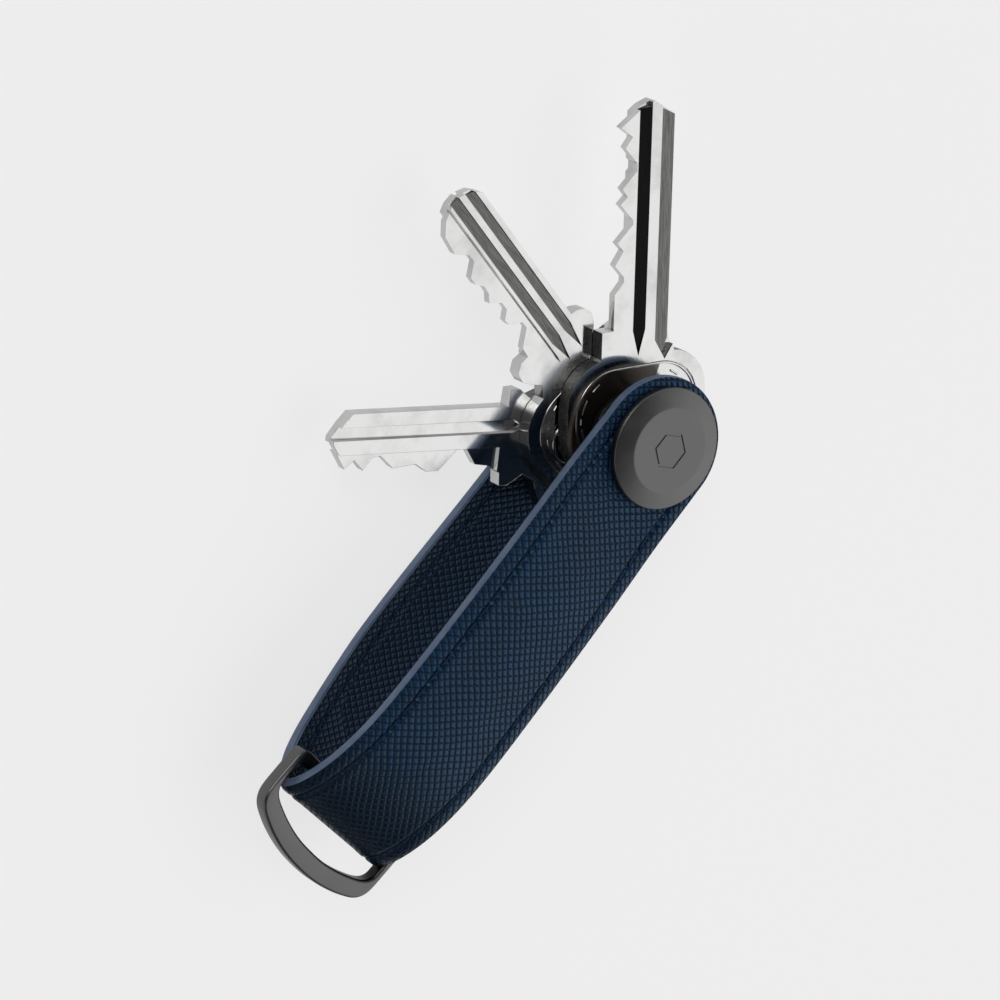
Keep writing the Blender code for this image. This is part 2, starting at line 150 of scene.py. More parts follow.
class Surface:
    """A Principled material with a few short cuts for building its node graph."""

    def __init__(self, name, **settings):
        self.material = bpy.data.materials.new(name)
        self.material.use_nodes = True
        self.tree = self.material.node_tree
        self.shader = self.tree.nodes["Principled BSDF"]
        for socket, value in settings.items():
            self.set(self.shader.inputs[socket.replace("_", " ")], value)

    def set(self, socket, value):
        if isinstance(value, bpy.types.NodeSocket):
            self.tree.links.new(value, socket)
        elif isinstance(value, (tuple, list)) and socket.type == "RGBA":
            socket.default_value = (*value, 1)
        else:
            socket.default_value = value

    def node(self, kind, *values, **options):
        made = self.tree.nodes.new("ShaderNode" + kind)
        for option, value in options.items():
            setattr(made, option, value)
        for socket, value in zip(made.inputs, values):
            if value is not None:
                self.set(socket, value)
        return made

    def math(self, operation, *values):
        return self.node("Math", *values, operation=operation).outputs[0]

    def mix(self, share, first, second):
        made = self.tree.nodes.new("ShaderNodeMix")
        made.data_type = "RGBA"
        self.set(made.inputs["Factor"], share)
        self.set(made.inputs["A"], first)
        self.set(made.inputs["B"], second)
        return made.outputs["Result"]

    def attribute(self, name):
        return self.node("Attribute", attribute_name=name).outputs["Vector"]

    def place(self):
        return self.node("TexCoord").outputs["Object"]

    def noise(self, where, scale, detail=2.0, roughness=0.5):
        made = self.node("TexNoise")
        self.set(made.inputs["Vector"], where)
        made.inputs["Scale"].default_value = scale
        made.inputs["Detail"].default_value = detail
        made.inputs["Roughness"].default_value = roughness
        return made.outputs["Fac"]

    def stretch(self, where, factors):
        made = self.tree.nodes.new("ShaderNodeVectorMath")
        made.operation = "MULTIPLY"
        self.set(made.inputs[0], where)
        made.inputs[1].default_value = factors
        return made.outputs[0]

    def remap(self, value, low, high, to_low, to_high):
        made = self.tree.nodes.new("ShaderNodeMapRange")
        made.interpolation_type = "SMOOTHSTEP"
        self.set(made.inputs["Value"], value)
        for socket, number in zip(RANGE_SOCKETS, (low, high, to_low, to_high)):
            self.set(made.inputs[socket], number)
        return made.outputs["Result"]

    def bump(self, height, depth, strength=1.0, under=None):
        """Raises the surface by height (0 to 1) times a depth in millimetres."""
        made = self.node("Bump")
        made.inputs["Strength"].default_value = strength
        made.inputs["Distance"].default_value = depth * MM
        self.set(made.inputs["Height"], height)
        if under is not None:
            self.set(made.inputs["Normal"], under)
        return made.outputs["Normal"]


def saffiano(name, lit, painted_shade, relief, roughness, tint, at_fold):
    """Pressed cross-hatch: two families of slightly wandering lines over fine grain.

    The relief is at_fold times as strong where the leather is stretched round the fold.
    Its colour carries painted light: the raised pads take the lit colour and the pressed lines the
    painted shade, as does the leather round the fold, where the relief is weaker.
    """
    surface = Surface(name)
    weave = surface.attribute("weave")
    wander = surface.noise(weave, 0.16, 2)
    wander_fine = surface.noise(weave, 0.7, 2)
    split = surface.node("SeparateXYZ", weave)
    along, across = split.outputs[0], split.outputs[1]

    def lines(angle, pitch, drift, power):
        first = surface.math("MULTIPLY", along, cos(radians(angle)) / pitch)
        second = surface.math("MULTIPLY", across, sin(radians(angle)) / pitch)
        phase = surface.math("ADD", first, second)
        bent = surface.math("MULTIPLY_ADD", wander, drift, phase)
        bent = surface.math("MULTIPLY_ADD", wander_fine, drift * 0.3, bent)
        wave = surface.math("COSINE", surface.math("MULTIPLY", bent, 2 * pi))
        return surface.math("POWER", surface.math("MULTIPLY_ADD", wave, 0.5, 0.5), power)

    steep = lines(135, 0.88, 0.8, 3.2)
    flat = lines(37, 0.96, 0.7, 6.0)
    pads = surface.math(
        "MULTIPLY",
        surface.math("SUBTRACT", 1.0, steep),
        surface.math("SUBTRACT", 1.0, surface.math("MULTIPLY", flat, 0.85)),
    )
    grain = surface.noise(weave, 7.0, 3, 0.6)
    from_fold = surface.math("ABSOLUTE", surface.math("SUBTRACT", along, HALF_WAY))
    strength = surface.remap(from_fold, 2, 28, at_fold, 1)
    height = surface.math("MULTIPLY", surface.math("MULTIPLY_ADD", grain, 0.12, pads), strength)
    patches = surface.noise(weave, 0.09, 2)
    # Painted light: raised pads get the lit colour, pressed lines and the fold's weak relief the painted
    # shade.
    raised = surface.remap(surface.math("MULTIPLY", pads, strength), 0.05, 0.7, 0, 1)
    shade = surface.mix(raised, painted_shade, lit)
    shade = surface.mix(surface.remap(patches, 0.35, 0.7, 0, 0.35), shade, painted_shade)
    polished = surface.remap(pads, 0.1, 0.8, roughness + 0.3, roughness)
    surface.set(surface.shader.inputs["Base Color"], shade)
    surface.set(surface.shader.inputs["Roughness"], polished)
    surface.set(surface.shader.inputs["Normal"], surface.bump(height, relief))
    surface.shader.inputs["Specular IOR Level"].default_value = 0.45
    surface.shader.inputs["Specular Tint"].default_value = (*tint, 1)
    return surface.material


def edge_paint():
    """Thick painted edging: faintly cloudy, with shallow ripples along it."""
    surface = Surface("edge_paint")
    where = surface.attribute("weave")
    cloud = surface.noise(where, 0.35, 3)
    cloudy = surface.remap(cloud, 0.3, 0.7, 0, 1)
    shade = surface.mix(cloudy, (0.085, 0.13, 0.225), (0.13, 0.18, 0.28))
    surface.set(surface.shader.inputs["Base Color"], shade)
    surface.set(surface.shader.inputs["Roughness"], surface.remap(cloud, 0.3, 0.7, 0.42, 0.55))
    ripples = surface.noise(surface.stretch(where, (0.5, 3.0, 3.0)), 1.5, 2)
    surface.set(surface.shader.inputs["Normal"], surface.bump(ripples, 0.06))
    return surface.material


def thread_cotton():
    """Navy thread, twisted from fine strands, with painted shade in the valleys between them."""
    surface = Surface("navy_thread", Roughness=0.55)
    surface.shader.inputs["Specular Tint"].default_value = (0.4, 0.65, 1.0, 1)
    split = surface.node("SeparateXYZ", surface.attribute("weave"))
    around = surface.math("MULTIPLY", split.outputs[1], 6.0)
    turns = surface.math("MULTIPLY_ADD", split.outputs[0], 9.0, around)
    ply = surface.math("MULTIPLY_ADD", surface.math("SINE", turns), 0.5, 0.5)
    # Painted light: the strands' crests take a lighter navy and the valleys between them a painted shade.
    shade = surface.mix(ply, (0.001, 0.005, 0.018), (0.006, 0.022, 0.06))
    surface.set(surface.shader.inputs["Base Color"], shade)
    surface.set(surface.shader.inputs["Normal"], surface.bump(ply, 0.04))
    return surface.material


def satin_metal(name, colour, roughness, speckle=0.05, wear_and_shade=False):
    """Blasted and plated metal: an even satin with a very fine grain and faint handling marks.

    One that asks for it gets painted shade along its inner edge, darkening towards black where its
    weave's second value nears nothing.
    """
    surface = Surface(name, Metallic=1.0)
    where = surface.place()
    grain = surface.noise(where, 9000, 2)
    marks = surface.noise(where, 260, 3, 0.6)
    light = tuple(value * (1 + speckle) for value in colour)
    dark = tuple(value * (1 - speckle) for value in colour)
    shade = surface.mix(surface.remap(marks, 0.3, 0.7, 0, 1), dark, light)
    if wear_and_shade:
        # Painted shade: the ring's inner edge darkens towards black.
        from_inside = surface.node("SeparateXYZ", surface.attribute("weave")).outputs[1]
        shade = surface.mix(surface.remap(from_inside, 0.05, 0.45, 0.9, 0), shade, (0.01, 0.01, 0.01))
    handled = surface.remap(marks, 0.3, 0.7, roughness, roughness + 0.06)
    surface.set(surface.shader.inputs["Base Color"], shade)
    surface.set(surface.shader.inputs["Roughness"], handled)
    surface.set(surface.shader.inputs["Normal"], surface.bump(grain, 0.004, 0.5))
    return surface.material


def polished_nickel(name, colour, roughness, scratch=1.0):
    """Plated brass: polished, with hairline scratches and a few duller patches."""
    surface = Surface(name, Metallic=1.0)
    where = surface.place()
    hairs = surface.noise(surface.stretch(where, (1.0, 0.06, 1.0)), 5200, 2)
    hairs_across = surface.noise(surface.stretch(where, (0.06, 1.0, 1.0)), 4300, 2)
    patches = surface.noise(where, 150, 4, 0.6)
    # The duller patches' own colour, from wear; no shade is painted here.
    wear_and_shade = tuple(value * 0.78 for value in colour)
    shade = surface.mix(surface.remap(patches, 0.4, 0.75, 0, 1), colour, wear_and_shade)
    dulled = surface.remap(patches, 0.35, 0.75, roughness, roughness + 0.12)
    surface.set(surface.shader.inputs["Base Color"], shade)
    surface.set(surface.shader.inputs["Roughness"], dulled)
    first = surface.bump(hairs, 0.0025 * scratch, 0.5)
    surface.set(surface.shader.inputs["Normal"], surface.bump(hairs_across, 0.002 * scratch, 0.5, first))
    return surface.material


def milled_groove():
    """A cutter's track: grey, streaked along the blade, with painted shade darkening its core that
    gives way to the plain grey along its deeper side.

    Its weave holds how much painted shade its core carries, and how far across the track a point lies.
    """
    surface = Surface("milled_groove", Metallic=1.0)
    core, share, _ = surface.node("SeparateXYZ", surface.attribute("weave")).outputs
    along = surface.stretch(surface.place(), (30.0, 30.0, 30.0))
    across = surface.node("CombineXYZ", share, surface.math("MULTIPLY", core, 0.4)).outputs[0]
    both = surface.node("VectorMath", across, along, operation="ADD").outputs[0]
    streaks = surface.noise(both, 14, 3, 0.6)
    # Painted shade: the core darkens towards black, and near the deeper side it lifts back to plain grey.
    grey = surface.mix(core, (0.5, 0.5, 0.49), (0.006, 0.006, 0.006))
    near_edge = surface.remap(share, 0.72, 1.0, 0, 0.6)
    streaked = surface.mix(surface.remap(streaks, 0.35, 0.7, 0, 0.35), grey, (0.02, 0.02, 0.02))
    shade = surface.mix(near_edge, streaked, (0.5, 0.5, 0.49))
    surface.set(surface.shader.inputs["Base Color"], shade)
    surface.set(surface.shader.inputs["Roughness"], surface.remap(streaks, 0.3, 0.7, 0.22, 0.36))
    surface.set(surface.shader.inputs["Normal"], surface.bump(streaks, 0.01))
    return surface.material


def shaded_flank_metal(name, colour, dark):
    """The rough flank of a key: pitted, with duller patches, its colour darkened as painted shade."""
    surface = Surface(name, Metallic=1.0)
    where = surface.place()
    pits = surface.noise(where, 2100, 4, 0.7)
    patches = surface.noise(where, 700, 5, 0.7)
    # Painted shade: the whole flank is far darker than the polished nickel beside it.
    shade = surface.mix(surface.remap(patches, 0.3, 0.7, 0, 1), colour, dark)
    surface.set(surface.shader.inputs["Base Color"], shade)
    surface.set(surface.shader.inputs["Roughness"], surface.remap(pits, 0.3, 0.7, 0.22, 0.45))
    surface.set(surface.shader.inputs["Normal"], surface.bump(pits, 0.09))
    return surface.material


def nylon_plastic():
    """Matt black plastic with a fine grain."""
    surface = Surface("black_nylon")
    grain = surface.noise(surface.place(), 3000, 3)
    shade = surface.mix(grain, (0.008, 0.008, 0.009), (0.02, 0.02, 0.022))
    surface.set(surface.shader.inputs["Base Color"], shade)
    surface.set(surface.shader.inputs["Roughness"], surface.remap(grain, 0.3, 0.7, 0.4, 0.55))
    surface.set(surface.shader.inputs["Normal"], surface.bump(grain, 0.02))
    return surface.material


# ---------------------------------------------------------------- shapes


def new_piece(name, verts, faces, surfaces, smooth_angle=40, weave=None):
    """A mesh object. Its weave, one vector for each vertex, tells a material how the piece runs."""
    mesh = bpy.data.meshes.new(name)
    mesh.from_pydata([tuple(value * MM for value in point) for point in verts], [], faces)
    mesh.update()
    obj = bpy.data.objects.new(name, mesh)
    bpy.context.scene.collection.objects.link(obj)
    for surface in surfaces:
        mesh.materials.append(surface)
    if weave:
        values = mesh.attributes.new("weave", "FLOAT_VECTOR", "POINT")
        values.data.foreach_set("vector", [number for vector in weave for number in vector])
    clean(obj, smooth_angle)
    return obj


def clean(obj, smooth_angle):
    """Welds the seams of a grid, turns every face outwards and smooths all but the sharp edges."""
    shape = bmesh.new()
    shape.from_mesh(obj.data)
    bmesh.ops.remove_doubles(shape, verts=shape.verts, dist=1e-6)
    bmesh.ops.recalc_face_normals(shape, faces=shape.faces)
    shape.to_mesh(obj.data)
    shape.free()
    smooth(obj, smooth_angle)


def smooth(obj, angle):
    obj.data.polygons.foreach_set("use_smooth", [True] * len(obj.data.polygons))
    obj.data.set_sharp_from_angle(angle=radians(angle))


def tube_faces(starts, count):
    """Quads that join closed loops of count vertices, one loop to the next."""
    return [
        (here + i, here + (i + 1) % count, there + (i + 1) % count, there + i)
        for here, there in zip(starts, starts[1:])
        for i in range(count)
    ]


def catmull(points, steps):
    points = [Vector(point) for point in points]
    padded = [2 * points[0] - points[1], *points, 2 * points[-1] - points[-2]]
    made = []
    for four in zip(padded, padded[1:], padded[2:], padded[3:]):
        made += catmull_span(*four, steps)
    return [*made, points[-1]]


def catmull_span(a, b, c, d, steps):
    """Points on the smooth curve from b towards c."""
    return [
        0.5 * (2 * b + (c - a) * t + (2 * a - 5 * b + 4 * c - d) * t**2 + (3 * b - a - 3 * c + d) * t**3)
        for t in (step / steps for step in range(steps))
    ]


def half_width(x):
    share = min(max(x / FOLD_REACH, 0), 1)
    return LOCK_HALF_WIDTH + (FOLD_HALF_WIDTH - LOCK_HALF_WIDTH) * share


def strap_stations():
    """Evenly spaced (distance, point, outward normal) along the strap's outer face, lock to lock."""
    back = [(x, -height) for x, height in reversed(BACK_LEAF)]
    line = catmull([*FRONT_LEAF, (FOLD_REACH, 0), *back], 24)
    lengths = [0.0]
    for before, after in zip(line, line[1:]):
        lengths.append(lengths[-1] + (after - before).length)
    count = round(lengths[-1] / STATION)
    found = []
    i = 0
    for step in range(count + 1):
        distance = lengths[-1] * step / count
        while i < len(line) - 2 and lengths[i + 1] < distance:
            i += 1
        share = (distance - lengths[i]) / (lengths[i + 1] - lengths[i])
        found.append((distance, line[i].lerp(line[i + 1], share)))
    stations = []
    for i, (distance, point) in enumerate(found):
        before = found[max(i - 1, 0)][1]
        after = found[min(i + 1, len(found) - 1)][1]
        along = (after - before).normalized()
        stations.append((distance, point, Vector((-along.y, along.x))))
    return stations


def crown(point, y):
    """How far the leather bows outwards between its long edges, away from the lock and the fold."""
    fade = smoothstep(10, 24, point.x) * (1 - smoothstep(50, 62, point.x))
    return CROWN * fade * (1 - (y / half_width(point.x)) ** 2)


def outer_profile(inset):
    """The outer face's height, by the distance in from its cut edge."""
    return (
        -0.16 * (1 - smoothstep(0.05, 0.8, inset))
        + 0.05 * bell(inset, 1.35, 0.5)
        - GROOVE_DEPTH * bell(inset, SEAM_INSET, GROOVE_WIDTH)
        + 0.07 * bell(inset, 3.3, 0.7)
    )


def lining_profile(inset):
    """The lining's shown face, likewise. Its groove is shallower."""
    groove = LINING_GROOVE * GROOVE_DEPTH * bell(inset, SEAM_INSET, GROOVE_WIDTH)
    return 0.1 * (1 - smoothstep(0.2, 0.8, inset)) + groove


EDGE_INSETS = (
    0.1, 0.2, 0.3, 0.42, 0.56, 0.72, 0.9, 1.15, 1.45, 1.75, 1.95, 2.1, 2.2, 2.3, 2.4, 2.5, 2.6, 2.7, 2.85,
    3.1, 3.5, 4.0, 4.7, 5.5, 6.3,
)
FIELD_SHARES = (0.25, 0.5, 0.75)
# The painted edge's section, as the distance in from the cut edge and the depth below the outer face.
BEAD = (
    (0.3, 0.12), (0.14, 0.16), (0.05, 0.28), (0.01, 0.5), (0, 0.8), (0.01, 1.15), (0.05, 1.38),
    (0.16, 1.54), (0.34, 1.62), (0.5, 1.5), (0.5, 0.1),
)


def end_edge():
    """The strap's round end as (point, angle) pairs about the lock."""
    angles = [pi / 2 + pi * step / END_STEPS for step in range(END_STEPS + 1)]
    return [(Vector((END_REACH * cos(angle), LOCK_HALF_WIDTH * sin(angle))), angle) for angle in angles]


def strap_piece(name, stations, section, cap_section, surface):
    """A strip along the whole strap, with round ends.

    section(half width) gives the closed (y, depth) loop of a cross section, and cap_section is the
    (inset, depth) loop that turns round each end.
    """
    verts, faces, weave = [], [], []

    def add(x, y, z, along):
        verts.append((x, y, z))
        weave.append((along, y, 0))

    starts = []
    for distance, point, normal in stations:
        starts.append(len(verts))
        loop = section(half_width(point.x))
        for y, depth in loop:
            out = crown(point, y) - depth
            add(point.x + normal.x * out, y, STRAP_MIDDLE + point.y + normal.y * out, distance)
    faces += tube_faces(starts, len(loop))
    for end, sign in ((0, 1), (-1, -1)):
        distance, point, _ = stations[end]
        starts = []
        for edge, _ in end_edge():
            starts.append(len(verts))
            for inset, depth in cap_section:
                at = edge * (1 - inset / edge.length)
                add(at.x, at.y, STRAP_MIDDLE + point.y - sign * depth, distance + sign * at.x)
        faces += tube_faces(starts, len(cap_section))
    return new_piece(name, verts, faces, [surface], 50, weave)


def layer_sections(profile, start, end, facing):
    """The cross sections of one leather layer. Its shown face is at the start or end depth."""
    face = start if facing == "out" else end
    hidden = end if facing == "out" else start

    def section(wide):
        reach = wide - EDGE_INSETS[-1]
        right = [(wide - inset, face - profile(inset)) for inset in EDGE_INSETS]
        field = [(reach * (1 - share), face) for share in FIELD_SHARES]
        half = right + field
        left = [(-y, depth) for y, depth in reversed(half)]
        trim = wide - EDGE_INSETS[0]
        return [*half, (0.0, face), *left, (-trim, hidden), (trim, hidden)]

    cap = [(inset, face - profile(inset)) for inset in EDGE_INSETS]
    cap += [(EDGE_INSETS[-1], hidden), (EDGE_INSETS[0], hidden)]
    return section, cap


def edge_piece(name, stations, surface):
    """Two painted beads over both layers along the strap's edges, joined round both ends."""
    verts, faces, weave = [], [], []

    def add(x, y, z, along, depth):
        verts.append((x, y, z))
        weave.append((along, depth, 0))

    for side in (-1, 1):
        starts = []
        for distance, point, normal in stations:
            starts.append(len(verts))
            for inset, depth in BEAD:
                y = side * (half_width(point.x) - inset)
                out = crown(point, y) - depth
                z = STRAP_MIDDLE + point.y + normal.y * out
                add(point.x + normal.x * out, y, z, distance, depth)
        faces += tube_faces(starts, len(BEAD))
    for end, sign in ((0, 1), (-1, -1)):
        distance, point, _ = stations[end]
        starts = []
        for edge, angle in end_edge():
            starts.append(len(verts))
            for inset, depth in BEAD:
                at = edge * (1 - inset / edge.length)
                z = STRAP_MIDDLE + point.y - sign * depth
                add(at.x, at.y, z, distance + LOCK_HALF_WIDTH * angle, depth)
        faces += tube_faces(starts, len(BEAD))
    return new_piece(name, verts, faces, [surface], 60, weave)


def seam(name, stations, side, face_depth, dip, surface):
    """Single stitches along one edge, each with its ends pulled down into the leather."""
    verts, faces, weave = [], [], []
    total = stations[-1][0]

    def at(distance):
        i = min(int(distance / total * (len(stations) - 1)), len(stations) - 2)
        (begin, point, normal), (end, next_point, next_normal) = stations[i], stations[i + 1]
        share = (distance - begin) / (end - begin)
        return point.lerp(next_point, share), normal.lerp(next_normal, share)

    for stitch in range(int((total - 2 * SEAM_START) / STITCH_PITCH)):
        begin = SEAM_START + stitch * STITCH_PITCH
        starts = []
        for ring in range(STITCH_RINGS):
            t = ring / (STITCH_RINGS - 1)
            distance = begin + STITCH_LENGTH * t
            point, normal = at(distance)
            y = side * (half_width(point.x) - SEAM_INSET + STITCH_LEAN * (t - 0.5))
            rise = 1 - (2 * t - 1) ** 6
            lift = crown(point, y) - face_depth + dip * (0.45 + 0.55 * (1 - rise))
            radius = THREAD * (0.55 + 0.45 * rise)
            starts.append(len(verts))
            for step in range(STITCH_SIDES):
                angle = 2 * pi * step / STITCH_SIDES
                out = lift + radius * sin(angle)
                z = STRAP_MIDDLE + point.y + normal.y * out
                verts.append((point.x + normal.x * out, y + radius * THREAD_FLATNESS * cos(angle), z))
                weave.append((distance, angle, 0))
        faces += tube_faces(starts, STITCH_SIDES)
        faces.append(tuple(starts[0] + i for i in range(STITCH_SIDES)))
        faces.append(tuple(starts[-1] + i for i in reversed(range(STITCH_SIDES))))
    return new_piece(name, verts, faces, [surface], 70, weave)


def lathe(name, profile, surface, steps=192):
    """A solid of revolution about the lock's axis, from (radius, height) points."""
    verts, faces = [], []
    for radius, height in profile:
        if radius == 0:
            verts.append((0, 0, height))
        else:
            verts += [
                (radius * cos(angle), radius * sin(angle), height)
                for angle in (2 * pi * step / steps for step in range(steps))
            ]
    at = 0
    starts = []
    for radius, _ in profile:
        starts.append(at)
        at += 1 if radius == 0 else steps
    for (here, (r0, _)), (there, (r1, _)) in zip(zip(starts, profile), zip(starts[1:], profile[1:])):
        for i in range(steps):
            j = (i + 1) % steps
            if r0 == 0:
                faces.append((here, there + i, there + j))
            elif r1 == 0:
                faces.append((here + i, there, here + j))
            else:
                faces.append((here + i, there + i, there + j, here + j))
    return new_piece(name, verts, faces, [surface], 25)


def rounded(profile, radius, steps=5):
    """The profile with every corner between its ends rounded off."""
    points = [Vector(point) for point in profile]
    made = [points[0]]
    for before, corner, after in zip(points, points[1:], points[2:]):
        reach = min(radius, (before - corner).length * 0.45, (after - corner).length * 0.45)
        start = corner + (before - corner).normalized() * reach
        end = corner + (after - corner).normalized() * reach
        for t in (step / steps for step in range(steps + 1)):
            made.append(start.lerp(corner, t).lerp(corner.lerp(end, t), t))
    return [tuple(point) for point in (*made, points[-1])]


def prism(name, outline, low, high):
    """A flat outline as a solid between two heights."""
    count = len(outline)
    verts = [(x, y, low) for x, y in outline] + [(x, y, high) for x, y in outline]
    faces = [tuple(range(count)), tuple(range(2 * count - 1, count - 1, -1))]
    faces += [(i, (i + 1) % count, count + (i + 1) % count, count + i) for i in range(count)]
    return new_piece(name, verts, faces, [], 30)


def cut(obj, *cutters, operation="DIFFERENCE"):
    """Applies a Boolean with each cutter, and removes the cutters."""
    for cutter in cutters:
        boolean = obj.modifiers.new("cut", "BOOLEAN")
        boolean.operation = operation
        boolean.solver = "EXACT"
        boolean.object = cutter
    apply_modifiers(obj)
    for cutter in cutters:
        bpy.data.objects.remove(cutter)


def apply_modifiers(obj):
    bpy.context.view_layer.update()
    graph = bpy.context.evaluated_depsgraph_get()
    mesh = bpy.data.meshes.new_from_object(obj.evaluated_get(graph))
    obj.modifiers.clear()
    old = obj.data
    obj.data = mesh
    bpy.data.meshes.remove(old)


def bevel(obj, width, segments, angle=30):
    made = obj.modifiers.new("soft edges", "BEVEL")
    made.width = width * MM
    made.segments = segments
    made.limit_method = "ANGLE"
    made.angle_limit = radians(angle)
    made.harden_normals = False


# ---------------------------------------------------------------- the strap


def build_strap(surfaces):
    stations = strap_stations()
    section, cap = layer_sections(outer_profile, 0, LEATHER, "out")
    outer = strap_piece("outer_leather", stations, section, cap, surfaces["leather"])
    section, cap = layer_sections(lining_profile, LINING_START, STRAP, "in")
    lining = strap_piece("lining_leather", stations, section, cap, surfaces["lining"])
    edge = edge_piece("painted_edge", stations, surfaces["paint"])
    for piece, node, slot in (
        (outer, "strap_outer", "navy_leather"),
        (lining, "strap_lining", "navy_lining"),
        (edge, "edge_coat", "edge_paint"),
    ):
        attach(piece, "strap")
        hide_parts(node)
    faces = (("outer", 0, -GROOVE_DEPTH), ("inner", STRAP, LINING_GROOVE * GROOVE_DEPTH))
    for side, word in ((-1, "left"), (1, "right")):
        for face, depth, dip in faces:
            stitches = seam(f"{face}_stitches_{word}", stations, side, depth, dip, surfaces["thread"])
            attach(stitches, "strap")
            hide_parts(f"{face}_seam_{word}")


# ---------------------------------------------------------------- the lock


def head_profile(top, direction):
    """One head's profile from the middle of its face to its underside."""
    shoulder = top - direction * CHAMFER
    under = top - direction * HEAD_HEIGHT
    rim = [
        (FACE_RADIUS - 1, top), (FACE_RADIUS, top), (HEAD_RADIUS, shoulder), (HEAD_RADIUS, under),
        (HEAD_RADIUS - 1, under),
    ]
    return [(0, top), *rounded(rim, HEAD_SOFTNESS)]


def build_lock(surfaces):
    bottom = 2 * STRAP_MIDDLE
    post = [
        *head_profile(0, 1), (POST_RADIUS, -HEAD_HEIGHT), (POST_RADIUS, POST_END + POST_CHAMFER),
        (POST_RADIUS - POST_CHAMFER, POST_END), (0, POST_END),
    ]
    screw = lathe("lock_button", post, surfaces["gunmetal"])
    hexagon = [(MARK_RADIUS * cos(pi * i / 3), MARK_RADIUS * sin(pi * i / 3)) for i in range(6)]
    share = 1 - MARK_LINE / MARK_RADIUS
    inner = [(x * share, y * share) for x, y in hexagon]
    groove = prism("groove", hexagon, -MARK_DEPTH, 1)
    cut(groove, prism("core", inner, -2, 2))
    cut(screw, groove)
    smooth(screw, 25)
    bore, bore_end = POST_RADIUS + BORE_GAP, POST_END - 0.4
    tube = [
        *head_profile(bottom, -1), (BARREL_RADIUS, bottom + HEAD_HEIGHT), (BARREL_RADIUS, BARREL_TOP),
        (bore, BARREL_TOP), (bore, bore_end), (0, bore_end),
    ]
    barrel = lathe("lock_back", tube, surfaces["gunmetal"])
    length, width, depth = SLOT
    corners = [(x * length / 2, y * width / 2) for x, y in ((1, 1), (-1, 1), (-1, -1), (1, -1))]
    cut(barrel, prism("coin_slot", corners, bottom - 1, bottom + depth))
    smooth(barrel, 25)
    for piece, body, node in ((screw, "lock_screw", "lock_screw"), (barrel, "strap", "lock_barrel")):
        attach(piece, body)
        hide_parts(node)


def finish_node(name, surface, soft=0.0):
    """Gives a carried-over CAD node its material, with softened edges when soft is given."""
    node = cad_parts[name]
    for slot in node.material_slots:
        slot.link = "OBJECT"
        slot.material = surface
    if soft:
        bevel(node, soft, 3)


# ---------------------------------------------------------------- the ring


def whole_ring(half):
    """A closed smooth line from one half of the ring's outline and its mirror image."""
    points = [Vector(point) for point in half]
    points += [Vector((x, -y)) for x, y in reversed(half[1:-1])]
    count = len(points)
    made = []
    for i in range(count):
        four = [points[(i + k) % count] for k in (-1, 0, 1, 2)]
        made += catmull_span(*four, 8)
    return made


def rounded_section(width, height, soft_start, soft_end):
    """A rounded rectangle as (across, up) points, with its own corner radius at each side."""
    half = height / 2
    section = []
    corners = (
        (0, 1, soft_start, 180), (width, 1, soft_end, 90), (width, -1, soft_end, 0),
        (0, -1, soft_start, -90),
    )
    for across, up, radius, first in corners:
        middle = (across + (radius if across == 0 else -radius), up * (half - radius))
        for step in range(6):
            angle = radians(first - 18 * step)
            section.append((middle[0] + radius * cos(angle), middle[1] + radius * sin(angle)))
    return section


def build_ring(surfaces):
    """A flat metal D whose edges are rounded, crisply outside and softly inside."""
    verts, weave, starts = [], [], []
    outside, inside = whole_ring(RING_OUTSIDE), whole_ring(RING_INSIDE)
    turn = Matrix.Rotation(radians(RING_TURN), 2)
    for outer, inner in zip(outside, inside):
        width = (inner - outer).length
        inwards = (inner - outer).normalized()
        starts.append(len(verts))
        section = rounded_section(width, RING_THICKNESS, *RING_SOFTNESS)
        for across, up in section:
            at = turn @ (outer + inwards * across)
            verts.append((RING_AXIS[0] + at.x, RING_AXIS[1] + at.y, RING_AXIS[2] + up))
            weave.append((across, width - across, up))
    faces = tube_faces([*starts, starts[0]], len(section))
    ring = new_piece("metal_ring", verts, faces, [surfaces["ring"]], 60, weave)
    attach(ring, "d_ring")
    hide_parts("d_ring")


# ---------------------------------------------------------------- the keys

# Which way each blade points at rest, in degrees from +X about the post.
KEY_ANGLES = {"front_key": -135.4, "middle_key": -97.2, "rear_key": -51.9}
# The wedges' undersides lie just below the floor of the CAD key's grooves.
GROOVE_FLOOR = 0.77
# Each milled groove's sloping floor: where it meets the tip on its low and its high side, where it
# starts to narrow and where it ends, its two sides, the depth at each, and its core's painted shade.
GROOVES = {
    "front_key": (
        (44.8, 44.6, 14.6, 11.0, -0.95, 1.05, 0.08, 0.72, 0.93),
        (43.4, 44.5, 12.8, 10.0, -4.78, -2.6, 0.3, 0.72, 0.45),
    ),
    "middle_key": (
        (43.8, 44.4, 18.8, 14.8, -2.65, -1.3, 0.35, 0.72, 0.5),
        (44.9, 44.8, 18.7, 14.7, -0.35, 1.15, 0.3, 0.72, 0.5),
    ),
    "rear_key": (),
}


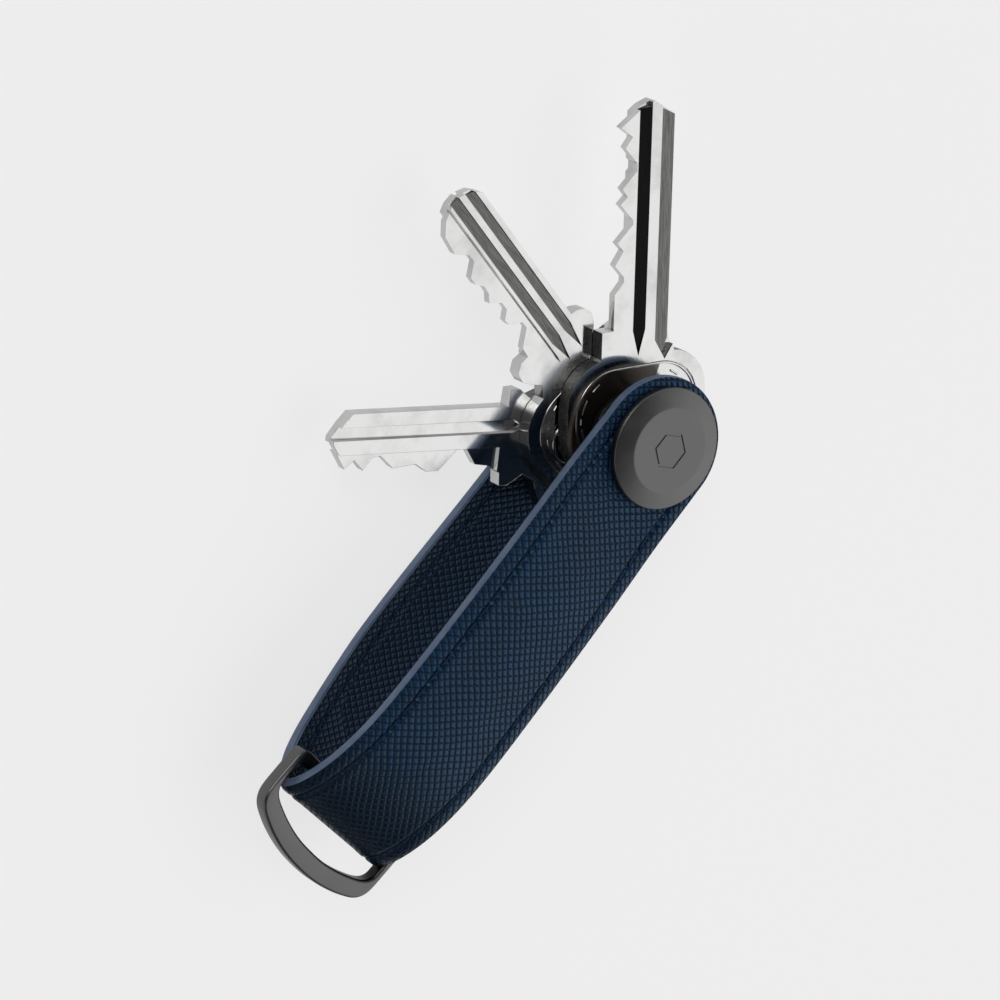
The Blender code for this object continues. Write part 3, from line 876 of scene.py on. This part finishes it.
def groove_floors(name, top):
    """Wedges that lie in a key's grooves, as (verts, faces, weave) in the CAD frame."""
    turn = Matrix.Rotation(radians(KEY_ANGLES[name]), 2)
    verts, faces, weave = [], [], []
    for low_tip, high_tip, neck, end, low, high, low_depth, high_depth, core in GROOVES[name]:
        start = len(verts)
        middle = (low + high) / 2
        outline = [(low_tip, low), (high_tip, high), (neck, high), (end + 0.3, middle), (neck, low)]
        slope = (high_depth - low_depth) / (high - low)
        for floor in (True, False):
            for u, v in outline:
                depth = low_depth + slope * (v - low) if floor else GROOVE_FLOOR
                x, y = turn @ Vector((u, v))
                verts.append((x, y, top - depth))
                # The first weave value is the painted shade of the groove's core.
                weave.append((core, (v - low) / (high - low), 0))
        count = len(outline)
        faces.append(tuple(start + i for i in range(count)))
        faces.append(tuple(start + count + i for i in reversed(range(count))))
        for i in range(count):
            j = (i + 1) % count
            faces.append((start + j, start + i, start + count + i, start + count + j))
    return verts, faces, weave


# Each bow: its front, back, half width and middle, about the post.
BOWS = {
    "front_key": (11.1, -6.3, 11.2, 0),
    "middle_key": (13.5, -6.5, 12.0, 0.75),
    "rear_key": (12.6, -6.3, 11.4, 0.8),
}
BOW_FRONT_CORNER = 6.0
BOW_BACK_CORNER = 7.5
BOW_SUNK = 0.2
# How far the rim's bead and the ring of small bars lie inside the bow's edge, and each bead's radius.
RIM_BEAD = (1.55, 0.2)
DASH_INSET = 2.35
DASH_RADIUS = 0.15
DASH_LENGTHS = (3, 1, 2)
# The middle key's plain raised ring: its middle's place and its radius.
EMBLEM = (5.3, 7.0, 2.9)
EMBLEM_RADIUS = 0.16
BEAD_POINTS = 7
EDGE_SOFTNESS = 0.18
# How far from the post a key's upright faces get the darker flank metal, which is painted shade.
FLANK_REACH = 15


def arc(centre, radius, start, end, count):
    return [
        Vector((centre[0] + radius * cos(angle), centre[1] + radius * sin(angle)))
        for angle in (radians(start + (end - start) * i / count) for i in range(count + 1))
    ]


def bow_outline(name, inset):
    """The key's bow, drawn that far inside its edge."""
    front, back, wide, middle = BOWS[name]
    front, back, wide = front - inset, back + inset, wide - inset
    near, far = BOW_FRONT_CORNER, BOW_BACK_CORNER
    return (
        arc((front - near, middle - wide + near), near, 270, 360, 14)
        + arc((front - near, middle + wide - near), near, 0, 90, 14)
        + arc((back + far, middle + wide - far), far, 90, 180, 16)
        + arc((back + far, middle - wide + far), far, 180, 270, 16)
    )


def raised_line(line, radius, height, closed=True):
    """(verts, faces) of a half-round bead along a flat line."""
    verts, faces = [], []
    count = len(line)
    for i, point in enumerate(line):
        before = line[i - 1] if closed or i else line[0]
        after = line[(i + 1) % count] if closed or i < count - 1 else line[-1]
        along = (after - before).normalized()
        side = Vector((-along.y, along.x))
        for step in range(BEAD_POINTS):
            angle = pi * step / (BEAD_POINTS - 1)
            at = point + side * radius * cos(angle)
            verts.append((at.x, at.y, height + radius * sin(angle)))
    for i in range(count if closed else count - 1):
        here, there = i * BEAD_POINTS, (i + 1) % count * BEAD_POINTS
        for k in range(BEAD_POINTS - 1):
            faces.append((here + k, here + k + 1, there + k + 1, there + k))
    return verts, faces


def build_trim(name, surfaces):
    """The raised rim line and the ring of small bars on both faces of a key's bow."""
    bottom, top = (corner.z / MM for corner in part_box(name))
    inset, radius = RIM_BEAD
    beads = [(bow_outline(name, inset), radius, True)]
    dashes = bow_outline(name, DASH_INSET)
    i, turn = 0, 0
    while i < len(dashes) - 4:
        length = DASH_LENGTHS[turn % len(DASH_LENGTHS)]
        dash = dashes[i : i + length + 1]
        under_blade = dash[0].x > 6 and abs(dash[0].y) < 5.5
        if not under_blade:
            beads.append((dash, DASH_RADIUS, False))
        i += length + 2
        turn += 1
    if name == "middle_key":
        *middle, reach = EMBLEM
        beads.append((arc(middle, reach, 0, 348, 30), EMBLEM_RADIUS, True))
        for start in range(0, 360, 60):
            beads.append((arc(middle, reach - 0.9, start, start + 34, 4), DASH_RADIUS, False))
    spin = Matrix.Rotation(radians(KEY_ANGLES[name]), 2)
    verts, faces = [], []
    for line, radius, closed in beads:
        turned = [spin @ point for point in line]
        for floor, up in ((top - BOW_SUNK, 1), (bottom + BOW_SUNK, -1)):
            points, quads = raised_line(turned, radius, 0, closed)
            start = len(verts)
            verts += [(x, y, floor + up * min(z, BOW_SUNK)) for x, y, z in points]
            faces += [tuple(start + k for k in quad) for quad in quads]
    trim = new_piece(name + "_trim", verts, faces, [surfaces["nickel"]], 80)
    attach(trim, name)


def build_key(name, surfaces):
    """The CAD key with its facets merged and its edges softened; its flanks get a rougher metal with
    painted shade.
    """
    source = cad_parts[name]
    mesh = source.data.copy()
    mesh.materials.clear()
    obj = bpy.data.objects.new("polished_" + name, mesh)
    bpy.context.scene.collection.objects.link(obj)
    shape = bmesh.new()
    shape.from_mesh(mesh)
    bmesh.ops.remove_doubles(shape, verts=shape.verts, dist=2e-6)
    bmesh.ops.dissolve_limit(
        shape, angle_limit=radians(1), verts=shape.verts, edges=shape.edges, use_dissolve_boundaries=False
    )
    for face in shape.faces:
        middle = face.calc_center_median()
        # Upright faces near the post take the flank metal, darkened as painted shade.
        flank = abs(face.normal.z) < 0.5 and hypot(middle.x, middle.y) < FLANK_REACH * MM
        face.material_index = 1 if flank else 0
    shape.to_mesh(mesh)
    shape.free()
    mesh.materials.append(surfaces["nickel"])
    mesh.materials.append(surfaces["shaded_flank"])
    bevel(obj, EDGE_SOFTNESS, 3)
    smooth(obj, 30)
    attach(obj, name)
    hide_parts(name)
    verts, faces, weave = groove_floors(name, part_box(name)[1].z / MM)
    if verts:
        floors = new_piece(name + "_grooves", verts, faces, [surfaces["groove"]], weave=weave)
        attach(floors, name)
    build_trim(name, surfaces)


# ---------------------------------------------------------------- the studio


def build_studio(lowest):
    floor_surface = Surface("pale_floor", Base_Color=(0.25, 0.25, 0.25), Roughness=0.9)
    floor_surface.shader.inputs["Emission Color"].default_value = (1, 1, 1, 1)
    seen = floor_surface.node("LightPath").outputs["Is Camera Ray"]
    glow = floor_surface.remap(seen, 0, 1, FLOOR_GLOW, BACKDROP_GLOW)
    floor_surface.set(floor_surface.shader.inputs["Emission Strength"], glow)
    size = 3000
    floor = new_piece(
        "floor",
        [(-size, -size, lowest), (size, -size, lowest), (size, size, lowest), (-size, size, lowest)],
        [(0, 1, 2, 3)],
        [floor_surface.material],
    )
    build_world()


def build_world():
    """A dark studio with one large soft panel above the far side, and a pale backdrop to look at."""
    world = bpy.data.worlds.new("studio")
    world.use_nodes = True
    bpy.context.scene.world = world
    tree = world.node_tree

    def node(kind, **options):
        made = tree.nodes.new(kind)
        for option, value in options.items():
            setattr(made, option, value)
        return made

    direction = node("ShaderNodeTexCoord").outputs["Generated"]

    def glow(towards, wide, narrow, low, high):
        """low to high brightness, as a direction comes within these angles of the light's middle."""
        dot = node("ShaderNodeVectorMath", operation="DOT_PRODUCT")
        tree.links.new(direction, dot.inputs[0])
        dot.inputs[1].default_value = Vector(towards).normalized()
        fade = node("ShaderNodeMapRange", interpolation_type="SMOOTHSTEP")
        tree.links.new(dot.outputs["Value"], fade.inputs["Value"])
        limits = (cos(radians(wide)), cos(radians(narrow)), low, high)
        for socket, number in zip(RANGE_SOCKETS, limits):
            fade.inputs[socket].default_value = number
        return fade.outputs["Result"]

    def add(first, second):
        made = node("ShaderNodeMath", operation="ADD")
        tree.links.new(first, made.inputs[0])
        tree.links.new(second, made.inputs[1])
        return made.outputs[0]

    light = glow(*PANEL)
    for soft in SOFT_LIGHTS:
        light = add(light, glow(*soft))
    studio = tree.nodes["Background"]
    tree.links.new(light, studio.inputs["Color"])
    backdrop = node("ShaderNodeBackground")
    backdrop.inputs["Color"].default_value = (0.83, 0.83, 0.83, 1)
    chosen = node("ShaderNodeMixShader")
    tree.links.new(node("ShaderNodeLightPath").outputs["Is Camera Ray"], chosen.inputs["Fac"])
    tree.links.new(studio.outputs[0], chosen.inputs[1])
    tree.links.new(backdrop.outputs[0], chosen.inputs[2])
    tree.links.new(chosen.outputs[0], tree.nodes["World Output"].inputs["Surface"])


def build_camera():
    data = bpy.data.cameras.new("camera")
    data.lens = 160.67
    data.sensor_width = 36
    camera = bpy.data.objects.new("camera", data)
    bpy.context.scene.collection.objects.link(camera)
    right = Vector((-0.5996, 0.5755, 0.5561))
    up = Vector((-0.7868, -0.5511, -0.2780))
    back = right.cross(up)
    turn = Matrix((right, up, back)).transposed().to_4x4()
    camera.matrix_world = Matrix.Translation(Vector((104.97, -365.63, 451.17)) * MM) @ turn
    bpy.context.scene.camera = camera


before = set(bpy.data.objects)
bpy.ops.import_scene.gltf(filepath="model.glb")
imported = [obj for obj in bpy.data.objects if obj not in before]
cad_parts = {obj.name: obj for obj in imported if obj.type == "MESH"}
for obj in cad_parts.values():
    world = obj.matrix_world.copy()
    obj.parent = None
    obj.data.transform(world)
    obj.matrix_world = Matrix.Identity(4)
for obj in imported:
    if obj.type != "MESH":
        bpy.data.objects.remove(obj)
cad_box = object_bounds()
bpy.context.scene.view_settings.view_transform = "Standard"

surfaces = {
    # Each leather is given a lit colour and a painted-shade copy of the same navy.
    "leather": saffiano(
        "navy_leather", (0.004, 0.038, 0.115), (0.0005, 0.005, 0.019), 0.24, 0.29, (0.5, 0.8, 1.0), 0.12
    ),
    "lining": saffiano(
        "navy_lining", (0.002, 0.016, 0.05), (0.0004, 0.003, 0.012), 0.2, 0.34, (0.3, 0.62, 1.0), 0.8
    ),
    "paint": edge_paint(),
    "thread": thread_cotton(),
    "gunmetal": satin_metal("gunmetal", (0.155, 0.153, 0.152), 0.32),
    # The ring's metal carries painted shade along its inner edge.
    "ring": satin_metal("ring_gunmetal", (0.15, 0.148, 0.147), 0.3, wear_and_shade=True),
    "dark_steel": satin_metal("dark_steel", (0.17, 0.145, 0.13), 0.34),
    "nickel": polished_nickel("nickel", (0.75, 0.75, 0.745), 0.08, 2.0),
    "groove": milled_groove(),
    # The key flanks' metal: its dark colour is painted shade.
    "shaded_flank": shaded_flank_metal("shaded_flank_nickel", (0.2, 0.2, 0.195), (0.1, 0.1, 0.097)),
    "spring": polished_nickel("spring_steel", (0.5, 0.5, 0.49), 0.2),
    "nylon": nylon_plastic(),
}
build_strap(surfaces)
build_lock(surfaces)
build_ring(surfaces)
for key_name in KEY_ANGLES:
    build_key(key_name, surfaces)
for node_name in ("front_flange", "rear_flange", "front_eyelet", "rear_eyelet"):
    finish_node(node_name, surfaces["dark_steel"], 0.1)
for node_name in ("thick_spacer", "thin_spacer"):
    finish_node(node_name, surfaces["nylon"], 0.1)
finish_node("wave_washer", surfaces["spring"])
build_studio(cad_box[0][2] / MM)
build_camera()
